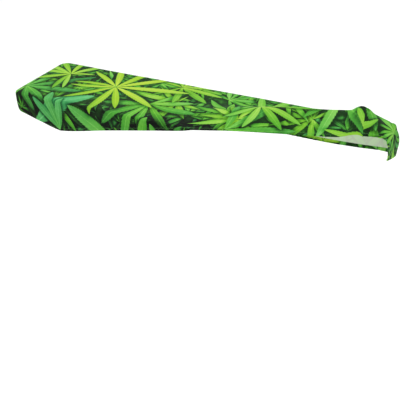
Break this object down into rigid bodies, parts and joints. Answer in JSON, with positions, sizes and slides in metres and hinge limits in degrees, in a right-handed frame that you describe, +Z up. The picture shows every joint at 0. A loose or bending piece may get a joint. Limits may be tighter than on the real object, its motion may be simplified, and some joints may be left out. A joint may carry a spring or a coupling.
{
  "type": "piano keyboard cover",
  "caption": "Long boxed dust cover of printed stretch cloth with an elastic hem, drawn over a keyboard and pushed back at its front right.",
  "frame": {"origin": "under the middle of the top panel, at the level of the side of the cloth that faces down", "axes": "+X along the length, towards the pushed-back end; +Y to the back; +Z up"},
  "size_m": [1.3483, 0.3296, 0.1685],
  "materials": {
    "printed_cloth": "knitted polyester and elastane, printed with green leaves, matt"
  },
  "bodies": {
    "root": {"cover": "printed_cloth"}
  },
  "joints": []
}
